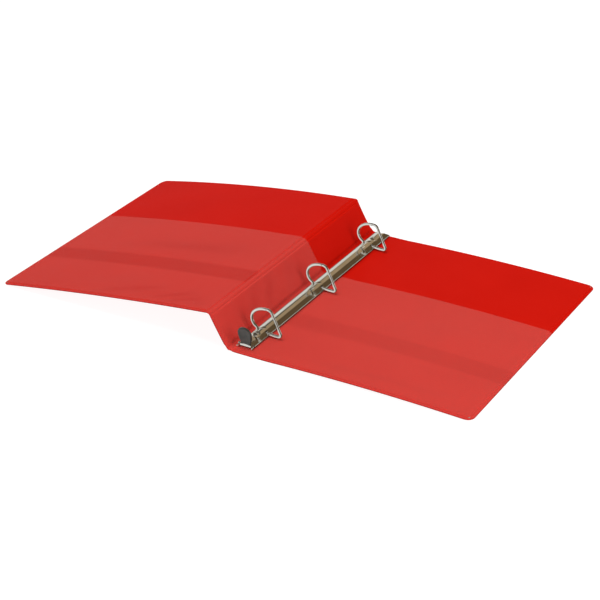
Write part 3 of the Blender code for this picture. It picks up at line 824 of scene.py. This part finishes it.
def add_cap():
    """The paddle: an egg-shaped plate with a rolled rim and a shallow dish in its face."""
    bottom, widest, top = 6.5 * MM, 18.0 * MM, 25.2 * MM
    half_width, foot_half, corner = 7.5 * MM, 4.8 * MM, 1.1 * MM
    right = []
    for step in range(24):
        angle = math.radians(90 * (1 - step / 24))
        right.append((half_width * math.cos(angle), widest + (top - widest) * math.sin(angle)))
    for step in range(20):
        share = step / 19
        right.append((half_width - (half_width - foot_half) * share**1.7, widest + (bottom - widest) * share))
    for step in range(1, 7):
        angle = math.radians(15 * step)
        in_by, down_by = corner * (1 - math.cos(angle)), corner * math.sin(angle)
        right.append((foot_half - in_by, bottom - down_by + corner * 0.9))
    outline = np.array(right + [(-x, z) for x, z in reversed(right[1:])])
    centre = np.array([0.0, 15.5 * MM])
    y_mid, half_thick = -137.8 * MM, 1.4 * MM
    # From the middle of the dished face round the rim to the middle of the back: the outline's scale, and the place in
    # the plate's thickness.
    rolls = (
        *((0.0, -0.62), (0.35, -0.66), (0.62, -0.76), (0.8, -0.93), (0.88, -1.0), (0.95, -0.95), (0.99, -0.7)),
        *((1.0, -0.35), (1.0, 0.35), (0.985, 0.75), (0.94, 0.95), (0.86, 1.0), (0.5, 1.0), (0.0, 1.0)),
    )
    points, faces, starts = [], [], []
    for scale, depth in rolls:
        starts.append(len(points))
        ring = centre + (outline - centre) * scale if scale else [centre]
        points += [(MECHANISM_X + x, y_mid + depth * half_thick, z) for x, z in ring]
    for (scale_a, _), (scale_b, _), a, b in zip(rolls, rolls[1:], starts, starts[1:]):
        for k in range(len(outline)):
            n = (k + 1) % len(outline)
            if scale_a == 0:
                faces.append((a, b + k, b + n))
            elif scale_b == 0:
                faces.append((a + k, b, a + n))
            else:
                faces.append((a + k, b + k, b + n, a + n))
    # The plate leans towards the near left, by these amounts from its lower end to its top.
    shift, lean, height = (0.35 * MM, 0.2 * MM), (1.1 * MM, 2.2 * MM), 18.7 * MM
    leant = []
    for x, y, z in points:
        share = (z - centre[1]) / height
        leant.append((x + shift[0] - lean[0] * share, y + shift[1] - lean[1] * share, z))
    add_piece("lever_paddle", closed_mesh("lever_paddle", leant, faces), PLASTIC, "lever", ["lever_cap"], sharp=60)


def add_lever_base():
    """The steel foot of the lever: a bar between the shell's wings, and a neck that goes up into the paddle.

    The bar is narrower behind the pin, where it rises under the sloping wings when the lever is pressed.
    """
    bm = bmesh.new()
    for low, high, bevel in (  # in mm from the pin
        ((-6.1, -2.5, -1.2), (6.5, 0.7, 1.0), 0.6),
        ((-4.6, -1.0, -1.2), (5.6, 1.9, 1.0), 0.6),
        ((-2.8, -2.2, 0.5), (3.4, -0.9, 9.0), 0.25),
    ):
        low, high = (Vector([value * MM for value in corner]) + LEVER_PIVOT for corner in (low, high))
        block = box_cutter(low, high, bevel * MM)
        bm.from_mesh(block)
        bpy.data.meshes.remove(block)
    mesh = bpy.data.meshes.new("lever_foot")
    bm.to_mesh(mesh)
    bm.free()
    add_piece("lever_foot", mesh, WIRE, "lever", ["lever_arm"])


def lathe(name, profile, centre, segments=48):
    """A turned solid about a vertical axis. profile is a list of (radius, height) from end to end of the axis."""
    points, faces, rows = [], [], []
    for radius, z in profile:
        rows.append(len(points))
        count = 1 if radius == 0 else segments
        for k in range(count):
            angle = 2 * math.pi * k / segments
            points.append((centre[0] + radius * math.cos(angle), centre[1] + radius * math.sin(angle), z))
    for (r0, _), (r1, _), a, b in zip(profile, profile[1:], rows, rows[1:]):
        for k in range(segments):
            n = (k + 1) % segments
            if r0 == 0:
                faces.append((a, b + n, b + k))
            elif r1 == 0:
                faces.append((a + k, a + n, b))
            else:
                faces.append((a + k, a + n, b + n, b + k))
    return closed_mesh(name, points, faces)


def add_rivets():
    """Hollow rivets: a flat head under the cover and a rolled eyelet in a dished seat on the crown."""
    seat, top = 8.8 * MM, 9.45 * MM
    roll = [(1.25, -1.2), (1.28, -0.35), (1.45, -0.08), (1.75, 0.0), (2.1, -0.1), (2.35, -0.32), (2.3, -0.6)]
    profile = [(0, 2 * MM), (1.25 * MM, 2 * MM)]
    profile += [(r * MM, top + z * MM) for r, z in roll]
    profile += [(1.9 * MM, seat), (1.9 * MM, 0.45 * MM), (4.9 * MM, 0.4 * MM), (5.0 * MM, 0.3 * MM)]
    profile += [(4.8 * MM, 0.06 * MM), (0, 0.05 * MM)]
    for name, y in zip(("near", "far"), RIVET_Y):
        mesh = lathe(f"rivet_{name}_turned", profile, (RIVET_X, y))
        add_piece(f"rivet_{name}_turned", mesh, NICKEL, "back", [f"rivet_{name}"], sharp=35)


def finish_cad_nodes():
    """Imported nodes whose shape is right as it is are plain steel."""
    for node in ("left_blade", "right_blade", "lever_pin"):
        materials = frame["nodes"][node].data.materials
        materials.clear()
        materials.append(STEEL)


# ---- stage --------------------------------------------------------------------------------------------------


def add_floor():
    bm = bmesh.new()
    bmesh.ops.create_grid(bm, x_segments=1, y_segments=1, size=6)
    mesh = bpy.data.meshes.new("floor")
    bm.to_mesh(mesh)
    bm.free()
    material = bpy.data.materials.new("floor")
    material.use_nodes = True
    shader = material.node_tree.nodes["Principled BSDF"]
    shader.inputs["Base Color"].default_value = (0.2, 0.2, 0.2, 1)
    shader.inputs["Roughness"].default_value = 0.9
    shader.inputs["Specular IOR Level"].default_value = 0.0
    shader.inputs["Emission Color"].default_value = (1, 1, 1, 1)
    shader.inputs["Emission Strength"].default_value = 0.93
    mesh.materials.append(material)
    floor = bpy.data.objects.new("floor", mesh)
    floor.location = (0, 0, -0.1 * MM)
    floor.visible_glossy = False
    bpy.context.scene.collection.objects.link(floor)


DARK, BROWN, DUN, TAN = (0.05, 0.034, 0.018), (0.135, 0.09, 0.048), (0.36, 0.27, 0.17), (0.46, 0.34, 0.205)
PALE, CREAM, WHITE, CARD_GREY = (1.1, 1.08, 1.03), (0.92, 0.92, 0.89), (0.95, 0.95, 0.95), (0.12, 0.115, 0.10)
SKY_STRIPS = (  # degrees round the binder's length, from straight up towards the right, and the colour there
    (-180, DARK),
    (-126, DARK),
    (-112, CREAM),
    (-52, CREAM),
    (-44, TAN),
    (-10, TAN),
    (14, DUN),
    (36, BROWN),
    (74, BROWN),
    (82, PALE),
    (102, PALE),
    (110, DARK),
    (180, DARK),
)
NEAR_LEFT = Vector((-0.55, -0.8, -0.25)).normalized()  # towards the studio's white side
CARD = Vector((-0.512, 0.538, 0.666)).normalized()  # towards a small dark card above the far left


def add_world():
    """A plain soft studio: white to the near left, and strips along the binder's length on the far side."""
    world = bpy.data.worlds.new("studio")
    world.use_nodes = True
    bpy.context.scene.world = world
    tree = world.node_tree
    background = tree.nodes["Background"]

    def above(value, low, high):
        """0 where the value is below low, 1 where it is above high, and a soft step between."""
        limits = {"Value": value, "From Min": low, "From Max": high, "To Min": 0.0, "To Max": 1.0}
        return add_node(tree, "ShaderNodeMapRange", limits, interpolation_type="SMOOTHSTEP").outputs[0]

    def towards(place):
        """1 in the direction of place, falling to 0 at right angles to it."""
        return add_node(
            tree, "ShaderNodeVectorMath", {0: direction, 1: place}, operation="DOT_PRODUCT"
        ).outputs["Value"]

    def mix(share, first, second):
        colours = {6: first, 7: second}
        return add_node(tree, "ShaderNodeMix", {0: share, **colours}, data_type="RGBA").outputs[2]

    direction = tree.nodes.new("ShaderNodeTexCoord").outputs["Generated"]
    x, y, z = add_node(tree, "ShaderNodeSeparateXYZ", {0: direction}).outputs
    angle = add_node(tree, "ShaderNodeMath", {0: x, 1: z}, operation="ARCTAN2").outputs[0]
    limits = {"Value": angle, "From Min": -math.pi, "From Max": math.pi, "To Min": 0.0, "To Max": 1.0}
    share = add_node(tree, "ShaderNodeMapRange", limits).outputs[0]
    ramp = add_node(tree, "ShaderNodeValToRGB", {"Fac": share})
    stops = ramp.color_ramp.elements
    while len(stops) < len(SKY_STRIPS):
        stops.new(0.5)
    for stop, (degrees, colour) in zip(stops, SKY_STRIPS):
        stop.position = (degrees + 180) / 360
        stop.color = (*colour, 1)
    near_side = mix(above(towards(NEAR_LEFT), 0.34, 0.5), (*BROWN, 1), (*WHITE, 1))
    far_side = mix(above(towards(CARD), 0.9475, 0.9535), ramp.outputs[0], (*CARD_GREY, 1))
    around = mix(above(y, 0.45, 0.62), near_side, far_side)
    sky = mix(above(z, 0.72, 0.84), around, (*DARK, 1))
    tree.links.new(sky, background.inputs["Color"])
    background.inputs["Strength"].default_value = 0.85


def add_lights():
    """A broad light overhead, and a weaker one on the side that the spine's inner face looks to."""
    for name, size, energy, place in (
        ("overhead", 1.6, 46, (-0.35, -0.2, 2.4)),
        ("side", 1.2, 16.5, (1.6, -0.3, 0.7)),
    ):
        light = bpy.data.lights.new(name, "AREA")
        light.shape = "DISK"
        light.size = size
        light.energy = energy
        obj = bpy.data.objects.new(name, light)
        obj.location = place
        obj.rotation_euler = (Vector((0, 0, 0)) - obj.location).to_track_quat("-Z", "Y").to_euler()
        obj.visible_glossy = False
        bpy.context.scene.collection.objects.link(obj)


CAMERA_PLACE = (0.80400, -1.34494, 0.83251)
CAMERA_ANGLES = (30.776, 28.441, -0.6265)  # degrees round to the right of the near side, up, and rolled
CAMERA_LENS, SENSOR_WIDTH = 103.16, 36  # in mm, as Blender's cameras are


def add_camera():
    azimuth, elevation, roll = (math.radians(angle) for angle in CAMERA_ANGLES)
    level = math.cos(elevation)
    forward = Vector((-math.sin(azimuth) * level, math.cos(azimuth) * level, -math.sin(elevation)))
    right = Vector((math.cos(azimuth), math.sin(azimuth), 0))
    up = right.cross(forward)
    right, up = (
        right * math.cos(roll) + up * math.sin(roll),
        up * math.cos(roll) - right * math.sin(roll),
    )
    camera = bpy.data.cameras.new("camera")
    camera.sensor_width = SENSOR_WIDTH
    camera.lens = CAMERA_LENS
    camera.clip_start, camera.clip_end = 0.05, 30
    obj = bpy.data.objects.new("camera", camera)
    rotation = Matrix((right, up, -forward)).transposed().to_4x4()
    obj.matrix_world = Matrix.Translation(CAMERA_PLACE) @ rotation
    bpy.context.scene.collection.objects.link(obj)
    bpy.context.scene.camera = obj


add_camera()
add_cover()
add_rings()
add_shell()
add_cap()
add_lever_base()
add_rivets()
finish_cad_nodes()
add_floor()
add_world()
add_lights()
bpy.context.scene.view_settings.view_transform = "Standard"
